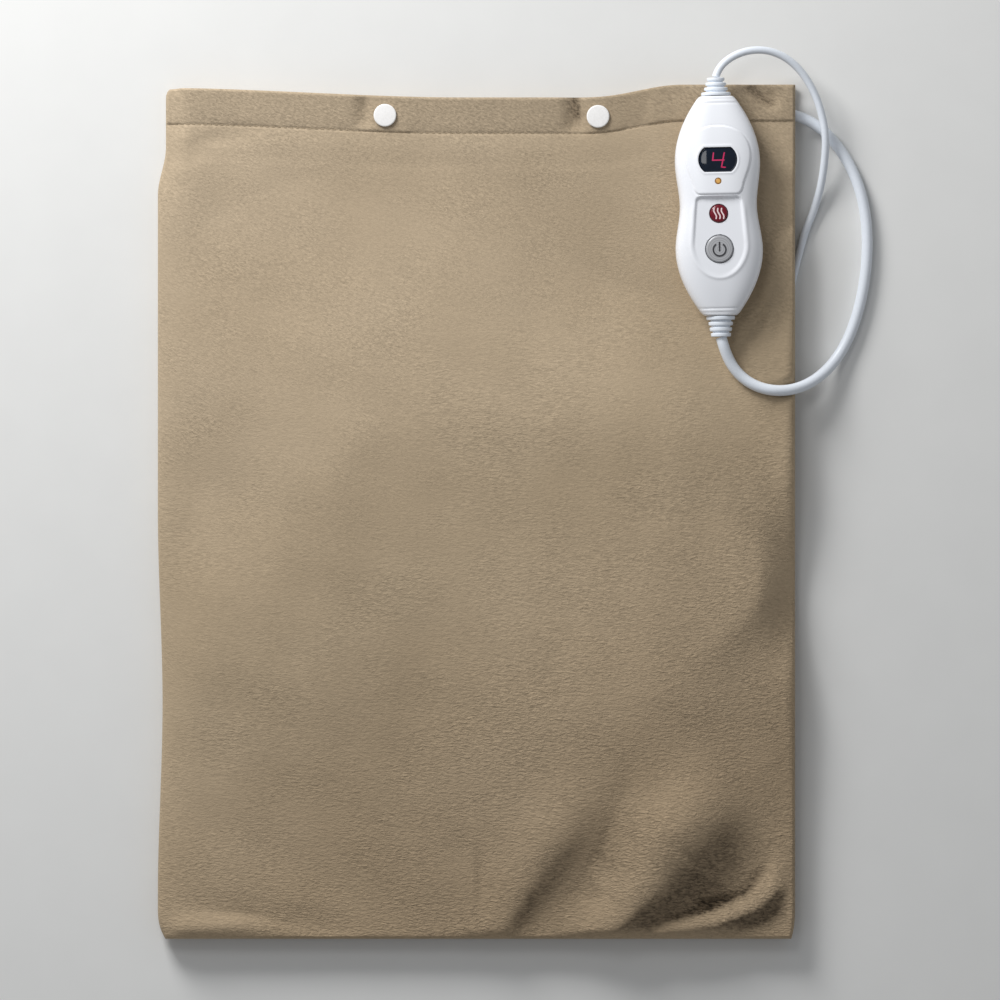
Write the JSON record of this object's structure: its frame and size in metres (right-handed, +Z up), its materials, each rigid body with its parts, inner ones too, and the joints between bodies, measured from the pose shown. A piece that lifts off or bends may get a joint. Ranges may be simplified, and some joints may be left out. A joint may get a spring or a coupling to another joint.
{
  "type": "heating pad",
  "caption": "Flat fleece-covered electric heating pad with a snap-closed hem and a corded hand controller with a display, a heat key and a power key.",
  "frame": {"origin": "centre of the pad, on the surface that it lies on", "axes": "+X to the pad's right, +Y to its hemmed top edge, +Z up from the surface"},
  "size_m": [0.3365, 0.4201, 0.0346],
  "materials": {
    "fleece": "brushed fleece",
    "padding": "soft felt",
    "white_case": "gloss",
    "white_cord": "satin",
    "white_stud": "satin",
    "wire_coat": "matt",
    "red_key": "satin",
    "grey_key": "satin",
    "dark_window": "polished",
    "amber": "clear",
    "board_green": "satin",
    "black_plastic": "matt",
    "yellow_plastic": "satin",
    "green_plastic": "satin",
    "steel": "brushed",
    "brass": "bright"
  },
  "bodies": {
    "pad_and_housing": {"board_fuse": "steel", "circuit_board": "board_green", "control_chip": "black_plastic", "cord_tie": "black_plastic", "cover_back_panel": "fleece", "cover_front_panel": "fleece", "display_module": "black_plastic", "display_window": "dark_window", "film_capacitor": "yellow_plastic", "heat_switch_body": "black_plastic", "heating_wire": "wire_coat", "housing_screw_1": "steel", "housing_screw_2": "steel", "housing_screw_3": "steel", "housing_screw_4": "steel", "indicator_led": "amber", "insert_bottom_layer": "padding", "insert_top_layer": "padding", "lead_junction_block": "white_cord", "light_pipe": "amber", "lower_shell": "white_case", "mains_core_1": "brass", "mains_core_2": "brass", "mains_lead": "white_cord", "mains_lead_coil": "white_cord", "mains_lead_tail": "white_cord", "mains_strain_relief": "white_cord", "mains_terminal": "green_plastic", "pad_core_1": "brass", "pad_core_2": "brass", "pad_lead": "white_cord", "pad_strain_relief": "white_cord", "pad_terminal": "green_plastic", "plug_body": "white_cord", "plug_pin_1": "brass", "plug_pin_2": "brass", "plug_pin_sleeve_1": "black_plastic", "plug_pin_sleeve_2": "black_plastic", "plug_strain_relief": "white_cord", "power_switch_body": "black_plastic", "snap_back_cap_left": "white_stud", "snap_back_cap_right": "white_stud", "snap_cap_left": "white_stud", "snap_cap_right": "white_stud", "snap_socket_left": "white_stud", "snap_socket_right": "white_stud", "snap_stud_left": "white_stud", "snap_stud_right": "white_stud", "temperature_sensor": "black_plastic", "thermal_cutout": "steel", "triac": "black_plastic", "upper_shell": "white_case"},
    "heat_button": {"heat_button": "red_key"},
    "power_button": {"power_button": "grey_key"},
    "heat_plunger": {"heat_switch_plunger": "black_plastic"},
    "power_plunger": {"power_switch_plunger": "black_plastic"}
  },
  "joints": [
    {"name": "heat_button_press", "type": "slide", "parent": "pad_and_housing", "child": "heat_button", "axis": [0, 0, -1], "range_m": [0, 0.0006], "stiffness_N_per_m": 250},
    {"name": "power_button_press", "type": "slide", "parent": "pad_and_housing", "child": "power_button", "axis": [0, 0, -1], "range_m": [0, 0.0006], "stiffness_N_per_m": 250},
    {"name": "heat_plunger_press", "type": "slide", "parent": "pad_and_housing", "child": "heat_plunger", "axis": [0, 0, -1], "range_m": [0, 0.0006]},
    {"name": "power_plunger_press", "type": "slide", "parent": "pad_and_housing", "child": "power_plunger", "axis": [0, 0, -1], "range_m": [0, 0.0006]}
  ],
  "couplings": [
    {"joint": "heat_plunger_press", "follows": "heat_button_press", "ratio": 1},
    {"joint": "power_plunger_press", "follows": "power_button_press", "ratio": 1}
  ]
}
